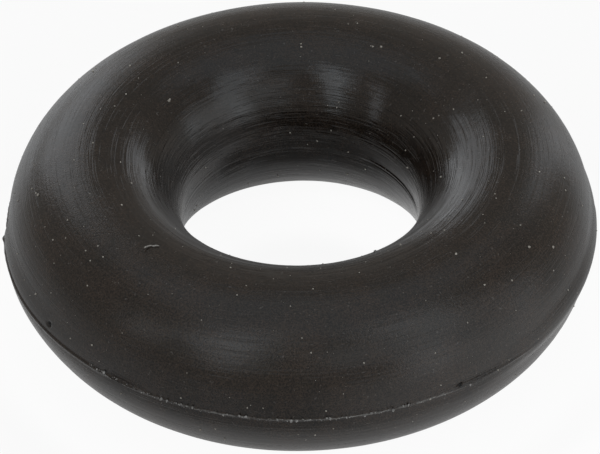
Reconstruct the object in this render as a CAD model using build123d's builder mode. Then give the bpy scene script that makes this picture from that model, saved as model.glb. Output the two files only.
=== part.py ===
from build123d import *
import os
from math import cos, radians, sin

# A compression moulded rubber o-ring, lying on its side as it rests.
# Millimetres, +Z along the ring's axis, origin on that axis in the parting plane.

# The ring, pressed in two round grooves that are each cut a little deeper than a half circle
bore_diameter = 4.53
section_width = 3.33
section_height = 3.53

# The rubber that squeezes out where the two mould plates meet, trimmed back to a rib
flash_thickness = 0.06
outer_flash = 0.055
bore_flash = 0.04

# At the left the trim left the outer rib proud, with a torn end towards the back
proud_flash = 0.1
proud_start = 182.6
proud_sweep = 44

# A blow hole just above the proud rib, where a bubble of gas broke the skin
blow_hole_angle = 211.6
blow_hole_height = 0.13
blow_hole_radius = 0.06
blow_hole_sink = 0.025

# Worked out from the sizes above
bore_radius = bore_diameter / 2
outer_radius = bore_radius + section_width
ring_radius = bore_radius + section_width / 2
half_height = section_height / 2
rib_root = section_width / 4


def radial_plane(angle):
    """The half plane at an angle from +X, with x as the radius from the ring's axis and y as the height."""
    turn = radians(angle)
    return Plane(origin=(0, 0, 0), x_dir=(cos(turn), sin(turn), 0), z_dir=(sin(turn), -cos(turn), 0))


def rib_section(inner, outer):
    """The flash in section, from one radius to another, centred on the parting plane."""
    with Locations(((inner + outer) / 2, 0)):
        Rectangle(outer - inner, flash_thickness)


with BuildPart() as o_ring:
    # The two grooves' halves and the trimmed flash on both sides, turned once round the axis
    with BuildSketch(radial_plane(0)):
        for side in (half_height, -half_height):
            with BuildLine():
                ThreePointArc((bore_radius, 0), (ring_radius, side), (outer_radius, 0))
                Line((outer_radius, 0), (bore_radius, 0))
            make_face()
        rib_section(bore_radius - bore_flash, outer_radius + outer_flash)
    revolve(axis=Axis.Z)

    # The stretch of outer rib that the trim left proud
    with BuildSketch(radial_plane(proud_start)):
        rib_section(outer_radius - rib_root, outer_radius + proud_flash)
    revolve(axis=Axis.Z, revolution_arc=proud_sweep)

    # The blow hole, a round pit in the skin
    pit_radius = outer_radius - blow_hole_sink
    pit_plane = radial_plane(blow_hole_angle)
    with Locations(pit_plane.from_local_coords((pit_radius, blow_hole_height, 0))):
        Sphere(blow_hole_radius, mode=Mode.SUBTRACT)

o_ring.part.label = "o_ring"

os.makedirs("parts", exist_ok=True)
export_step(o_ring.part, "parts/o_ring.step")
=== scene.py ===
import math

import bpy
from mathutils import Matrix, Vector
from mathutils.bvhtree import BVHTree


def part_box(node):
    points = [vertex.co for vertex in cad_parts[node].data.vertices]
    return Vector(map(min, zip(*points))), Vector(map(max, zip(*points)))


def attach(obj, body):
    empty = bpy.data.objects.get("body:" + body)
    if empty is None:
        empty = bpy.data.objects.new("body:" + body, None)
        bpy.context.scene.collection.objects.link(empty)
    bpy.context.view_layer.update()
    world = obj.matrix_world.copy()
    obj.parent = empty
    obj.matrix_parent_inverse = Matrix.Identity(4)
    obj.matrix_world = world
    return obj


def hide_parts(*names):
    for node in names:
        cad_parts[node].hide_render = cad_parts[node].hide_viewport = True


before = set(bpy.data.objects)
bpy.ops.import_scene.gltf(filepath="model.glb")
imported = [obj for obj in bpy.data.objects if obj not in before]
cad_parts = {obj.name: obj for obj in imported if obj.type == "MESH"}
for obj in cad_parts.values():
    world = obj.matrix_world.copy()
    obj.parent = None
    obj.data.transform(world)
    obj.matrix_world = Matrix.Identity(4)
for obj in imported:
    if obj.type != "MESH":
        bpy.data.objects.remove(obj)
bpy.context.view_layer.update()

scene = bpy.context.scene
scene.view_settings.view_transform = "Standard"


# The view. The ring was photographed close to, from above its front edge, with a long macro lens.
# Distances are from the ring's centre, which is the frame's origin.

MM = 0.001
DEG = math.pi / 180

view_elevation = 40.73 * DEG
view_distance = 179.1 * MM
view_roll = -1.12 * DEG
photo_width, photo_height = 600, 454
focal_pixels = 9338
ring_centre_pixel = Vector((300.3, 222.9))
sensor_width = 36
nearest_seen = 10 * MM


def looking_in(place, roll):
    """The matrix of a thing at this place that looks at the ring's centre, rolled by this angle."""
    aim = (-place).to_track_quat("-Z", "Y").to_matrix().to_4x4()
    return Matrix.Translation(place) @ aim @ Matrix.Rotation(roll, 4, "Z")


camera_data = bpy.data.cameras.new("camera")
camera_data.sensor_width = sensor_width
camera_data.lens = focal_pixels / photo_width * sensor_width
camera_data.shift_x = (photo_width / 2 - ring_centre_pixel.x) / photo_width
camera_data.shift_y = (ring_centre_pixel.y - photo_height / 2) / photo_width
camera_data.clip_start = nearest_seen
camera = bpy.data.objects.new("camera", camera_data)
scene.collection.objects.link(camera)
camera_place = view_distance * Vector((0, -math.cos(view_elevation), math.sin(view_elevation)))
camera.matrix_world = looking_in(camera_place, view_roll)
scene.camera = camera


# The ring. Black rubber, pressed hot between two grooved plates, whose turning marks are printed on
# its skin. What crept out between the plates was trimmed to a ragged rib round the outside, proud
# and creased at the left, and to a fine one in the bore.

ring_low, ring_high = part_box("o_ring")
section_height = ring_high.z - ring_low.z
section_width = 3.33 * MM
trimmed_flash = 0.055 * MM
outer_radius = ring_high.y - trimmed_flash
ring_radius = outer_radius - section_width / 2

# Where the flash is proud, torn, soft, stepped and clear in the bore. Angles round the ring are
# counted from the right end, and are negative towards the front
proud_start = -179.4 * DEG
proud_full = -177.6 * DEG
proud_fading = -164 * DEG
proud_end = -129 * DEG
torn_start = -118 * DEG
torn_end = -54 * DEG
soft_start = -56 * DEG
soft_full = -36 * DEG
soft_fading = 30 * DEG
soft_end = 60 * DEG
step_top = 2 * DEG
step_foot = 3.4 * DEG
bore_line_start = 2 * DEG
bore_line_end = 62 * DEG

# The flash line's height, and how far its rib, swelling, slopes, lip and creases reach from it
rib_height = -0.048 * MM
rib_reach = 0.036 * MM
swelling_reach = 0.42 * MM
slope_above = 0.5 * MM
slope_below = 1.1 * MM
lip_drop = 0.045 * MM
lip_reach = 0.04 * MM
crease_reach = 0.024 * MM
bore_rib_reach = 0.05 * MM
bore_crease_drop = 0.045 * MM
bore_crease_reach = 0.02 * MM
bore_crease_depth = 0.02 * MM

# Two faults of the skin, each given as an angle round the ring and a height
blow_hole = (-148.4 * DEG, 0.125 * MM)
blow_hole_reach = 0.068 * MM
blow_hole_depth = 0.07 * MM
nick = (-58.2 * DEG, 0.005 * MM)
nick_reach = 0.06 * MM
nick_depth = 0.06 * MM

# How many of the skin's mottles there are to a millimetre, and how deep its marks and grain are
patches = 1.3
pebbles = 9
flecks = 15
grains = 30
skin_relief = 0.006 * MM

skin_dark = (0.0150, 0.0112, 0.0084, 1)
skin_warm = (0.0215, 0.0146, 0.0102, 1)
torn_grey = (0.30, 0.295, 0.285, 1)
# Below, the grey of the painted sheen on the bore's upper edge, and the black of the painted shade
# in the pits
painted_sheen_grey = (0.18, 0.177, 0.175, 1)
painted_pit_shade = (0.002, 0.0015, 0.0015, 1)


class Wire:
    """A socket of a node tree. Arithmetic on it adds Math nodes to the tree."""

    def __init__(self, tree, socket=None):
        self.tree = tree
        self.socket = socket

    def node(self, kind, settings=None, values=None, output=0):
        """Adds a node of this kind, sets it up, feeds its sockets and gives one of its outputs."""
        made = self.tree.nodes.new(kind)
        for name, value in (settings or {}).items():
            setattr(made, name, value)
        pairs = values.items() if isinstance(values, dict) else enumerate(values or [])
        for key, value in pairs:
            if isinstance(value, Wire):
                self.tree.links.new(value.socket, made.inputs[key])
            else:
                made.inputs[key].default_value = value
        return Wire(self.tree, made.outputs[output] if made.outputs else None)

    def of(self, operation, *others):
        return self.node("ShaderNodeMath", {"operation": operation}, [self, *others])

    def __add__(self, other):
        return self.of("ADD", other)

    __radd__ = __add__

    def __sub__(self, other):
        return self.of("SUBTRACT", other)

    def __rsub__(self, other):
        return self.node("ShaderNodeMath", {"operation": "SUBTRACT"}, [other, self])

    def __mul__(self, other):
        return self.of("MULTIPLY", other)

    __rmul__ = __mul__

    def __truediv__(self, other):
        return self.of("DIVIDE", other)

    def __pow__(self, other):
        return self.of("POWER", other)

    def __abs__(self):
        return self.of("ABSOLUTE")

    def rise(self, low, high):
        """0 up to low, 1 from high on, and a smooth rise between them."""
        settings = {"interpolation_type": "SMOOTHSTEP"}
        values = {"Value": self, "From Min": low, "From Max": high}
        return self.node("ShaderNodeMapRange", settings, values)

    def near(self, centre, reach):
        """1 at the centre, falling smoothly to 0 at this reach from it."""
        return 1 - abs(self - centre).rise(0, reach)

    def within(self, start, end, fade):
        """1 between start and end, with a smooth rise and fall of this length inside them."""
        return self.rise(start, start + fade) * (1 - self.rise(end - fade, end))

    def noise(self, scale, detail, roughness):
        """Smooth chance values over this vector, mostly from 0.25 to 0.75."""
        values = {"Vector": self, "Scale": scale, "Detail": detail, "Roughness": roughness}
        return self.node("ShaderNodeTexNoise", {"noise_dimensions": "3D"}, values)

    def parts(self):
        """The x, y and z of this vector."""
        split = self.tree.nodes.new("ShaderNodeSeparateXYZ")
        self.tree.links.new(self.socket, split.inputs[0])
        return [Wire(self.tree, out) for out in split.outputs]

    def vector(self, *values):
        return self.node("ShaderNodeCombineXYZ", values=values)

    def grey(self):
        """This number as a colour."""
        return self.vector(self, self, self)

    def mixed(self, first, second):
        """One colour where this is 0, and the other where it is 1."""
        values = {0: self, 6: first, 7: second}
        return self.node("ShaderNodeMix", {"data_type": "RGBA"}, values, output=2)


def new_material(name):
    """A material without nodes, and the wire that its nodes start from."""
    material = bpy.data.materials.new(name)
    material.use_nodes = True
    material.node_tree.nodes.clear()
    return material, Wire(material.node_tree)


def from_spot(along, height, spot):
    """How far a place on the ring's outside is from a spot, given as an angle and a height."""
    sideways = (along - spot[0]) * outer_radius
    upwards = height - spot[1]
    return (sideways * sideways + upwards * upwards) ** 0.5


def torn_bunches(turn_x, turn_y, height):
    """Chance values along the rib, which part its torn rubber into dashes."""
    return height.vector(turn_x, turn_y, height * (2 / MM)).noise(34, 3, 0.7)


def rubber_skin():
    """Matt black rubber with the mould's turning marks and a grain, grey where torn, with a painted
    sheen along the bore's edge and painted shade in its pits.
    """
    material, start = new_material("rubber_skin")
    place = start.node("ShaderNodeTexCoord", output="Object")
    x, y, z = place.parts()
    from_axis = (x * x + y * y) ** 0.5
    turn_x, turn_y = x / from_axis, y / from_axis
    along = y.of("ARCTAN2", x)
    across = z.of("ARCTAN2", from_axis - ring_radius)
    outside = from_axis.rise(ring_radius, outer_radius)
    inward = 1 - from_axis.rise(ring_radius - 0.6 * MM, ring_radius + 0.6 * MM)
    bore_wall = inward * (1 - z.rise(0.2 * MM, 0.8 * MM))

    patch = place.noise(patches / MM, 3, 0.6)
    pebble = place.noise(pebbles / MM, 2, 0.6)
    fleck = place.noise(flecks / MM, 1, 0.5).rise(0.69, 0.8)
    grain = place.noise(grains / MM, 2, 0.7)

    def streaks(changes, lines, detail, roughness):
        """Long lines round the ring: how often they come and go, and how close they lie."""
        spread = start.vector(turn_x * changes, turn_y * changes, across * lines)
        return spread.noise(1, detail, roughness)

    # The turning marks are strongest on the inner slope, and the grain on the outside
    fine_marks = streaks(changes=1.1, lines=26, detail=3, roughness=0.7)
    broad_marks = streaks(changes=0.7, lines=9, detail=2, roughness=0.6)
    scratches = streaks(changes=2.5, lines=60, detail=2, roughness=0.5).rise(0.58, 0.7)
    marks = fine_marks * (0.3 + 1.4 * patch) + broad_marks
    marks = marks * (0.5 + 0.7 * inward) * (1 - 0.4 * bore_wall)
    grit = (grain * 0.6 + pebble * 0.4) * (1 - 0.6 * inward)
    height = marks * 1.5 + grit - 0.4 * scratches
    relief = {"Strength": 1, "Distance": skin_relief, "Height": height}
    bump = start.node("ShaderNodeBump", values=relief)

    # Torn rubber is grey, in dashes along the rib at the front
    crest = z.near(rib_height - 0.006 * MM, 0.034 * MM) * outside
    dashes = torn_bunches(turn_x, turn_y, z).rise(0.46, 0.6)
    torn = crest * along.within(torn_start, torn_end, 8 * DEG) * dashes

    # Painted shade: the blow hole and the nick are painted near black for the shade in their
    # hollows, and made rougher
    hollow = 1 - from_spot(along, z, blow_hole).rise(0.04 * MM, blow_hole_reach)
    dent = 1 - from_spot(along, z, nick).rise(0.03 * MM, nick_reach)
    painted_shade_pits = hollow.of("MAXIMUM", dent) * outside

    # Painted sheen: the bore's upper edge is painted grey at the front, where it is also dull, and
    # painted a little paler at the left as a reflection. Pale flecks are mixed in with it
    above_bore = 1 - across.rise(160 * DEG, 179 * DEG)
    front = 1 - turn_y.rise(-0.7, 0.15)
    left = (0 - turn_x).rise(0.1, 0.7)
    painted_sheen_edge = across.rise(106 * DEG, 122 * DEG) * above_bore * front * (0.5 + fine_marks)
    painted_sheen_left = across.rise(126 * DEG, 146 * DEG) * above_bore * left * 0.22
    painted_sheen_and_flecks = (painted_sheen_edge * fine_marks * 1.3).of("MAXIMUM", painted_sheen_left).of("MAXIMUM", fleck * 0.25)

    speckle = (1.8 - 0.6 * inward) * grain.rise(0.3, 0.72)
    tone = 0.15 + speckle + 0.3 * pebble.rise(0.25, 0.75)
    colour = patch.rise(0.3, 0.7).mixed(skin_dark, skin_warm)
    multiply = {"data_type": "RGBA", "blend_type": "MULTIPLY"}
    toned = {0: 1.0, 6: colour, 7: tone.grey()}
    colour = start.node("ShaderNodeMix", multiply, toned, output=2)
    # Painted sheen on the bore's upper edge, with the pale flecks
    colour = painted_sheen_and_flecks.mixed(colour, painted_sheen_grey)
    colour = torn.mixed(colour, torn_grey)
    colour = painted_shade_pits.mixed(colour, painted_pit_shade)

    roughness = 0.05 + 0.11 * (1 - inward) + 0.08 * fine_marks + 0.05 * patch
    roughness = roughness + 0.3 * painted_sheen_edge + 0.4 * torn + 0.4 * painted_shade_pits
    shader = start.node("ShaderNodeBsdfPrincipled", values={
        "Base Color": colour,
        "Roughness": roughness,
        "Normal": bump,
    })
    start.node("ShaderNodeOutputMaterial", values={"Surface": shader})
    return material


def new_tree(name, inputs):
    """A geometry tree with a socket for each of these inputs. Gives its input wires by name."""
    kinds = {
        float: "NodeSocketFloat",
        int: "NodeSocketInt",
        bpy.types.Material: "NodeSocketMaterial",
    }
    tree = bpy.data.node_groups.new(name, "GeometryNodeTree")
    tree.is_modifier = True
    for way in ("OUTPUT", "INPUT"):
        tree.interface.new_socket("Geometry", in_out=way, socket_type="NodeSocketGeometry")
    for label, value in inputs.items():
        tree.interface.new_socket(label, in_out="INPUT", socket_type=kinds[type(value)])
    entry = tree.nodes.new("NodeGroupInput")
    return {out.name: Wire(tree, out) for out in entry.outputs if out.name}


def end_tree(geometry, finish):
    """Makes the geometry real, gives it its material and ends the tree with it."""
    whole = geometry.node("GeometryNodeRealizeInstances", values={"Geometry": geometry})
    dressing = {"Geometry": whole, "Material": finish}
    dressed = whole.node("GeometryNodeSetMaterial", values=dressing)
    leave = geometry.tree.nodes.new("NodeGroupOutput")
    geometry.tree.links.new(dressed.socket, leave.inputs["Geometry"])
    return geometry.tree


def evaluated_mesh(thing):
    """The plain mesh that this object comes to, with its modifiers or its curve's thickness."""
    evaluated = thing.evaluated_get(bpy.context.evaluated_depsgraph_get())
    return bpy.data.meshes.new_from_object(evaluated)


def placed(name, mesh):
    """A smooth object of this mesh, at the origin."""
    mesh.shade_smooth()
    piece = bpy.data.objects.new(name, mesh)
    scene.collection.objects.link(piece)
    return piece


def grown(name, tree, inputs, base=None):
    """The plain piece that a tree makes, from a base mesh if it takes one."""
    seed = bpy.data.objects.new(name + "_seed", base or bpy.data.meshes.new(name + "_seed"))
    scene.collection.objects.link(seed)
    modifier = seed.modifiers.new("grow", "NODES")
    modifier.node_group = tree
    for item in tree.interface.items_tree:
        if item.in_out == "INPUT" and item.name in inputs:
            modifier[item.identifier] = inputs[item.name]
    mesh = evaluated_mesh(seed)
    seed.modifiers.clear()
    bpy.data.objects.remove(seed)
    return placed(name, mesh)


def ring_tree(inputs):
    """A sheet bent round the section, then round the axis, with the flash and its faults on it."""
    given = new_tree("moulded_ring", inputs)
    start = given["Geometry"]
    sheet = start.node("GeometryNodeMeshGrid", values={
        "Size X": 1.0,
        "Size Y": 1.0,
        "Vertices X": given["Steps Around"] + 1,
        "Vertices Y": given["Steps Across"] + 1,
    })
    share_around, share_across = start.node("GeometryNodeInputPosition").parts()[:2]
    # The seam is at the back
    along = share_around * math.tau - math.pi / 2
    # The lines crowd together at the two parting lines, where the flash is
    crowding = 0.91
    even = (share_across + 0.5) * math.tau
    across = even - (even * 2).of("SINE") * (crowding / 2)
    sine = across.of("SINE")
    cosine = across.of("COSINE")

    # Each groove is cut round and a little deeper than a half circle, so the arc's centre lies
    # off the parting plane
    half_width = given["Section Width"] * 0.5
    half_height = given["Section Height"] * 0.5
    arc_radius = (half_width * half_width + half_height * half_height) / (half_height * 2)
    arc_rise = half_height - arc_radius
    arc_reach = (arc_radius * arc_radius - (arc_rise * cosine) ** 2) ** 0.5
    reach = arc_rise * abs(sine) + arc_reach
    height = reach * sine
    outside = cosine.rise(-0.01, 0.01)
    inside = 1 - outside

    # Chance values that run round the ring without a seam
    turn_x = along.of("COSINE")
    turn_y = along.of("SINE")
    turn = start.vector(turn_x, turn_y, height * (3 / MM))
    ragged = turn.noise(46, 3, 0.7)
    drift = turn.noise(5, 2, 0.5)

    # The trimmed flash is a fine ragged rib, torn down to a fifth of its height at the front
    flash = given["Outer Flash"] * (0.8 + 0.4 * drift) * (0.6 + 0.8 * ragged)
    torn_low = 1 - 0.8 * along.within(proud_end, torn_end, 12 * DEG)
    rib = height.near(rib_height, rib_reach) * flash * torn_low

    # At the right the trim left a soft swelling in its place, with a small step at the right end
    soft = along.rise(soft_start, soft_full) * (1 - along.rise(soft_fading, soft_end))
    step = 1.5 + 0.15 * (1 - along.rise(step_top, step_foot))
    swelling = height.near(rib_height, swelling_reach) * given["Outer Flash"] * step
    rib = rib * (1 - soft) + swelling * soft

    # At the left the skin itself stands proud, and a crease runs along it, with a lip under it
    proud = along.rise(proud_start, proud_full) * (1 - along.rise(proud_fading, proud_end))
    above = 1 - height.rise(rib_height, rib_height + slope_above)
    below = height.rise(rib_height - slope_below, rib_height)
    proud_skin = above * below * given["Proud Flash"] * proud
    creased = along.within(proud_start, proud_end, 6 * DEG)
    lip_thickness = 0.014 * MM + 0.014 * MM * ragged
    lip = height.near(rib_height - lip_drop, lip_reach) * lip_thickness
    crease_depth = 0.02 * MM + 0.024 * MM * ragged
    crease = height.near(rib_height, crease_reach) * crease_depth
    rib = rib * (1 - creased) + proud_skin + (lip - crease) * creased

    # In the bore the rib is low and rounded, but it stands out at the right, over a crease
    bore_line = along.within(bore_line_start, bore_line_end, 18 * DEG)
    bore_strength = 0.1 + 0.15 * ragged + 0.35 * bore_line
    bore_rib = height.near(0.0, bore_rib_reach) * given["Bore Flash"] * bore_strength
    bore_crease = height.near(-bore_crease_drop, bore_crease_reach) * bore_line
    bore_relief = bore_rib - bore_crease * bore_crease_depth

    hollow = 1 - from_spot(along, height, blow_hole).rise(0.03 * MM, blow_hole_reach)
    dent = 1 - from_spot(along, height, nick).rise(0.0, nick_reach)
    outer_relief = rib - hollow * blow_hole_depth - dent * nick_depth
    reach = reach + outside * outer_relief + inside * bore_relief
    waviness = start.vector(turn_x * 3, turn_y * 3, sine * 2).noise(1, 2, 0.5) - 0.5
    reach = reach + waviness * 0.012 * MM

    # The inner slope is a little fuller than the arc, where the hot ring was levered out
    reach = reach + across.near(121 * DEG, 22 * DEG) * given["Shoulder"]

    radius = given["Outer Radius"] - half_width + reach * cosine
    moved = start.vector(radius * turn_x, radius * turn_y, reach * sine)
    bending = {"Geometry": sheet, "Position": moved}
    bent = start.node("GeometryNodeSetPosition", values=bending)
    closing = {"Geometry": bent, "Distance": 0.0002 * MM}
    closed = start.node("GeometryNodeMergeByDistance", values=closing)
    return end_tree(closed, given["Finish"])


ring_inputs = {
    "Outer Radius": outer_radius,
    "Section Width": section_width,
    "Section Height": section_height,
    "Outer Flash": trimmed_flash,
    "Proud Flash": 0.09 * MM,
    "Bore Flash": 0.035 * MM,
    "Shoulder": 0.026 * MM,
    "Steps Around": 880,
    "Steps Across": 112,
    "Finish": rubber_skin(),
}
ring = grown("rubber_ring", ring_tree(ring_inputs), ring_inputs)
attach(ring, "root")
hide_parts("o_ring")


# Torn crumbs. Little rags of the ring's own rubber that the trim left along the rib at the front.
# They are grey and dry, lie in the same bunches as the torn dashes, and hang on half sunk.

crumb_pale = (0.42, 0.41, 0.40, 1)
crumb_deep = (0.12, 0.117, 0.113, 1)


def lump(start, unevenness):
    """A small uneven lump of unit size."""
    ball = start.node("GeometryNodeMeshIcoSphere", values={"Radius": 1.0, "Subdivisions": 1})
    spot = start.node("GeometryNodeInputPosition")
    swell = 1 + (spot.noise(1.3, 1, 0.5) - 0.5) * unevenness
    swelling = {"Vector": spot, "Scale": swell}
    moved = start.node("ShaderNodeVectorMath", {"operation": "SCALE"}, swelling)
    return start.node("GeometryNodeSetPosition", values={"Geometry": ball, "Position": moved})


def chance(start, low, high, seed):
    """A chance number for each point, from low to high."""
    values = {2: low, 3: high, "Seed": seed}
    return start.node("FunctionNodeRandomValue", {"data_type": "FLOAT"}, values, output=1)


def strewn(points, shape, smallest, largest, stretch, seed):
    """A lump on each point, each with its own turn and its own size, most of them small."""
    size = chance(points, 0.0, 1.0, seed) ** 3 * (largest - smallest) + smallest
    turns = [chance(points, 0.0, math.tau, seed + step) for step in (1, 2, 3)]
    longer = size * chance(points, 1.0, stretch, seed + 4)
    return points.node("GeometryNodeInstanceOnPoints", values={
        "Points": points,
        "Instance": shape,
        "Rotation": points.vector(*turns),
        "Scale": points.vector(longer, size, size),
    })


def plain_finish(name, pale, deep, roughness, mottles):
    """A dry matt finish, mottled between two colours, with this many mottles to a millimetre."""
    material, start = new_material(name)
    place = start.node("ShaderNodeTexCoord", output="Object")
    mottle = place.noise(mottles / MM, 2, 0.6).rise(0.3, 0.7)
    shader = start.node("ShaderNodeBsdfPrincipled", values={
        "Base Color": mottle.mixed(pale, deep),
        "Roughness": roughness,
    })
    start.node("ShaderNodeOutputMaterial", values={"Surface": shader})
    return material


def crumb_tree(inputs):
    """Crumbs strewn along the rib."""
    given = new_tree("crumbs", inputs)
    start = given["Geometry"]
    along = chance(start, given["From Angle"], given["To Angle"], given["Seed"])
    turn_x = along.of("COSINE")
    turn_y = along.of("SINE")
    height = rib_height + chance(start, -0.03 * MM, 0.03 * MM, given["Seed"] + 10)
    out = given["Rib Radius"] + chance(start, -0.01 * MM, 0.012 * MM, given["Seed"] + 20)
    spot = start.vector(turn_x * out, turn_y * out, height)
    strewing = {"Count": given["Count"], "Position": spot}
    points = start.node("GeometryNodePoints", values=strewing)
    largest = given["Largest"] * torn_bunches(turn_x, turn_y, height).rise(0.44, 0.6)
    shape = lump(start, unevenness=1.2)
    crumbs = strewn(points, shape, given["Smallest"], largest, 2.2, given["Seed"] + 30)
    return end_tree(crumbs, given["Finish"])


crumb_inputs = {
    "Rib Radius": outer_radius + 0.02 * MM,
    "From Angle": -136 * DEG,
    "To Angle": torn_end,
    "Count": 560,
    "Smallest": 0.004 * MM,
    "Largest": 0.034 * MM,
    "Seed": 5,
    "Finish": plain_finish("torn_rubber", crumb_pale, crumb_deep, roughness=0.8, mottles=22),
}
crumbs = grown("torn_crumbs", crumb_tree(crumb_inputs), crumb_inputs)
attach(crumbs, "root")


# Dust. Pale specks of grit that have settled on the skin, most of them finer than a grain of flour.
# The largest lie where the photograph shows them, and the rest are strewn by chance.

dust_pale = (0.50, 0.47, 0.42, 1)
dust_deep = (0.26, 0.24, 0.21, 1)
lowest_dust = -0.9 * MM
noted_specks = [
    (130, 66), (169, 101), (93, 143), (74, 160), (32, 189), (38, 195), (53, 240), (139, 236),
    (98, 246), (103, 257), (36, 294), (92, 345), (181, 398), (263, 408), (326, 411), (315, 435),
    (301, 44), (381, 47), (320, 170), (462, 53), (414, 137), (441, 177), (495, 194), (313, 289),
    (237, 295), (364, 363), (553, 247), (529, 247), (568, 290), (456, 254), (498, 370), (430, 399),
]


def sight(pixel):
    """The direction in which the camera sees a pixel of the photograph."""
    rightwards = pixel[0] - ring_centre_pixel.x
    upwards = ring_centre_pixel.y - pixel[1]
    ray = Vector((rightwards, upwards, -focal_pixels))
    return (camera.matrix_world.to_3x3() @ ray).normalized()


corners = [vertex.co for vertex in ring.data.vertices]
ring_surface = BVHTree.FromPolygons(corners, [face.vertices for face in ring.data.polygons])


def on_skin(pixel, lift=0.0):
    """The place on the ring that a pixel shows, lifted off the skin by this much."""
    place, facing = ring_surface.ray_cast(camera_place, sight(pixel))[:2]
    return place + facing * lift


def skin_spots(name, pixels):
    """A mesh of loose points, at the places on the ring that these pixels show."""
    spots = bpy.data.meshes.new(name)
    spots.from_pydata([on_skin(pixel) for pixel in pixels], [], [])
    return spots


def dust_tree(inputs):
    """Specks on the corners of the base mesh, or strewn over its upper faces."""
    given = new_tree("dust", inputs)
    start = given["Geometry"]
    height = start.node("GeometryNodeInputPosition").parts()[2]
    strewing = {
        "Mesh": start,
        "Selection": height.of("GREATER_THAN", lowest_dust),
        "Density": given["Density"],
        "Seed": given["Seed"],
    }
    by_chance = start.node("GeometryNodeDistributePointsOnFaces", values=strewing)
    setting_down = {"Mesh": start, "Selection": given["Noted"]}
    set_down = start.node("GeometryNodeMeshToPoints", values=setting_down)
    both = start.tree.nodes.new("GeometryNodeJoinGeometry")
    for part in (by_chance, set_down):
        start.tree.links.new(part.socket, both.inputs[0])
    points = Wire(start.tree, both.outputs[0])
    shape = lump(start, unevenness=1.0)
    seed = given["Seed"] + 30
    specks = strewn(points, shape, given["Smallest"], given["Largest"], 1.7, seed)
    return end_tree(specks, given["Finish"])


dust_finish = plain_finish("dust", dust_pale, dust_deep, roughness=0.9, mottles=30)
speck_spots = skin_spots("speck_spots", noted_specks)
large_inputs = {
    "Noted": 1,
    "Density": 0.0,
    "Smallest": 0.017 * MM,
    "Largest": 0.036 * MM,
    "Seed": 3,
    "Finish": dust_finish,
}
fine_inputs = {
    "Noted": 0,
    "Density": 3.8 / MM ** 2,
    "Smallest": 0.004 * MM,
    "Largest": 0.022 * MM,
    "Seed": 11,
    "Finish": dust_finish,
}
large_kind = ("large_dust", large_inputs, speck_spots)
fine_kind = ("fine_dust", fine_inputs, ring.data)
for name, inputs, base in (large_kind, fine_kind):
    dust = grown(name, dust_tree(inputs), inputs, base)
    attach(dust, "root")


# A nib. One crumb of the ring's own rubber, left standing where the bore's edge was trimmed,
# at the right of the front. It has the same black skin as the ring.

nib_pixel = (375.5, 252.3)
nib_size = 0.045 * MM
nib_inputs = {
    "Noted": 1,
    "Density": 0.0,
    "Smallest": nib_size,
    "Largest": nib_size,
    "Seed": 2,
    "Finish": ring_inputs["Finish"],
}
nib_spot = skin_spots("nib_spot", [nib_pixel])
nib = grown("bore_nib", dust_tree(nib_inputs), nib_inputs, nib_spot)
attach(nib, "root")


# A lint fibre. A short pale hair of cloth that has settled on the ring's inner slope at the left.
# It is bent, clings to the skin, and has one end off it.

fibre_pixels = [
    (144.6, 249.8), (147.6, 247.6), (151.0, 246.0), (153.2, 246.8), (156.2, 245.8), (159.0, 246.6),
]
fibre_lifts = [0.06 * MM, 0.035 * MM, 0.015 * MM, 0.01 * MM, 0.012 * MM, 0.014 * MM]
fibre_thickness = 0.028 * MM
lint_pale = (0.42, 0.40, 0.37, 1)
lint_deep = (0.20, 0.19, 0.18, 1)

line = bpy.data.curves.new("fibre_line", "CURVE")
line.dimensions = "3D"
line.bevel_depth = fibre_thickness / 2
line.bevel_resolution = 2
line.use_fill_caps = True
line.resolution_u = 8
spline = line.splines.new("NURBS")
spline.points.add(len(fibre_pixels) - 1)
for point, pixel, lift in zip(spline.points, fibre_pixels, fibre_lifts):
    point.co = (*on_skin(pixel, lift), 1)
spline.order_u = 3
spline.use_endpoint_u = True
drawn = bpy.data.objects.new("fibre_line", line)
scene.collection.objects.link(drawn)
fibre_mesh = evaluated_mesh(drawn)
bpy.data.objects.remove(drawn)
lint_finish = plain_finish("lint", lint_pale, lint_deep, roughness=0.7, mottles=18)
fibre_mesh.materials.clear()
fibre_mesh.materials.append(lint_finish)
fibre = placed("lint_fibre", fibre_mesh)
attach(fibre, "root")


# The table. A white card, whose paper carries a painted glow: it gives off light up at the
# underside of the ring, into its bore, and from beyond it, most of all at the front right. The
# camera sees the card nearly white.

floor_height = ring_low.z
card_size = 0.6
card_tone = (0.6, 0.6, 0.6, 1)
white = (1, 1, 1, 1)
share_seen_white = 0.92
painted_glow_fade = 0.9 * MM

bpy.ops.mesh.primitive_plane_add(size=card_size, location=(0, 0, floor_height))
card = bpy.context.object
card.name = "card"
card_paper, start = new_material("card_paper")
x, y, z = start.node("ShaderNodeTexCoord", output="Object").parts()
from_axis = (x * x + y * y) ** 0.5
turn_x, turn_y = x / from_axis, y / from_axis
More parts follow.
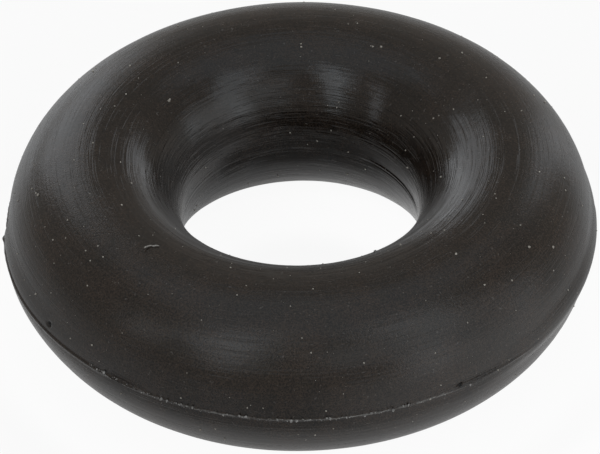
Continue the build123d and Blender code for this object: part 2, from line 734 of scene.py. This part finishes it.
# Painted glow: light that the paper itself gives off, under the ring, in its bore and beyond it
under = 0.35 * from_axis.within(3.0 * MM, 6.8 * MM, painted_glow_fade)
towards_right = 0.65 + 0.5 * x.rise(-1.5 * MM, 1.8 * MM)
in_bore = 0.44 * from_axis.within(1.2 * MM, 3.7 * MM, painted_glow_fade) * towards_right
towards_back = 0.12 * turn_y.rise(-0.95, -0.3)
towards_front_right = 0.34 * (turn_x - turn_y).rise(0.95, 1.38)
beyond = from_axis.rise(6.0 * MM, 7.4 * MM) * (towards_back + towards_front_right)
painted_glow_colour = (under + beyond + in_bore).grey()
paper = start.node("ShaderNodeBsdfPrincipled", values={"Base Color": card_tone, "Roughness": 0.12})
painted_glow = start.node("ShaderNodeEmission", values={"Color": painted_glow_colour, "Strength": 1.0})
paper_with_painted_glow = start.node("ShaderNodeAddShader", values=[paper, painted_glow])
plain_white = start.node("ShaderNodeEmission", values={"Color": white, "Strength": 1.0})
seen = start.node("ShaderNodeLightPath", output="Is Camera Ray") * share_seen_white
whitened = start.node("ShaderNodeMixShader", values=[seen, paper_with_painted_glow, plain_white])
start.node("ShaderNodeOutputMaterial", values={"Surface": whitened})
card.data.materials.append(card_paper)


# The room and the lights. The room is white to the camera and dim and warm to the ring. Soft boxes
# stand behind the ring, white boards at its right and front, a strip at its left, and one overhead.

room_warmth = (1.06, 1.0, 0.93, 1)
room_light = 0.325
neutral = (0.94, 1.0, 1.07)
cool = (0.91, 1.0, 1.08)
cold = (0.8, 1.0, 1.2)

# The boxes' distance in metres, and their watts for each square metre at a brightness of 1
box_distance = 0.5
box_power = 4

world = bpy.data.worlds.new("room")
scene.world = world
world.use_nodes = True
world.node_tree.nodes.clear()
start = Wire(world.node_tree)
seen = start.node("ShaderNodeLightPath", output="Is Camera Ray")
sky = start.node("ShaderNodeBackground", values={
    "Color": seen.mixed(room_warmth, white),
    "Strength": seen * (1 - room_light) + room_light,
})
start.node("ShaderNodeOutputWorld", values={"Surface": sky})


def soft_box(name, azimuth, elevation, width, height, brightness, colour, slant=0.0, glossy=True):
    """A rectangular light that faces the ring. Azimuth is from straight behind the ring, to the
    right. Width and height are angles, as seen from the ring."""
    light = bpy.data.lights.new(name, "AREA")
    light.shape = "RECTANGLE"
    light.size = 2 * box_distance * math.tan(width * DEG / 2)
    light.size_y = 2 * box_distance * math.tan(height * DEG / 2)
    light.energy = brightness * light.size * light.size_y * box_power
    light.color = colour
    box = bpy.data.objects.new(name, light)
    scene.collection.objects.link(box)
    turn, tilt = azimuth * DEG, elevation * DEG
    out = Vector((math.sin(turn) * math.cos(tilt), math.cos(turn) * math.cos(tilt), math.sin(tilt)))
    box.matrix_world = looking_in(box_distance * out, slant * DEG)
    box.visible_camera = False
    box.visible_glossy = glossy


soft_box("back_left_box", -27, 25, 28, 35, 0.8, neutral)
soft_box("back_left_low", -27, 8, 28, 12, 0.4, neutral)
soft_box("back_right_box", 35, 16, 12, 40, 0.68, neutral)
soft_box("back_right_edge", 43, 28, 7, 20, 0.27, neutral)
soft_box("right_board", 114, 12, 58, 36, 0.3, cool, slant=24)
soft_box("right_board_core", 124, 46, 24, 34, 0.64, cool)
soft_box("right_board_end", 134, 12, 18, 36, 0.5, cool)
soft_box("right_board_edge", 91, 6, 8, 24, 0.5, cool)
soft_box("front_right_board", 160, 34, 26, 26, 0.36, cool)
soft_box("front_left_board", -151, 41, 14, 46, 0.9, cool)
soft_box("front_left_wing", -138.5, 43, 12, 14, 0.7, cool)
soft_box("left_strip", -116, 28, 7, 28, 0.75, neutral)
soft_box("overhead", 0, 89, 60, 60, 0.2, cold)
soft_box("key", 90, 45, 34, 34, 0.2, neutral, glossy=False)
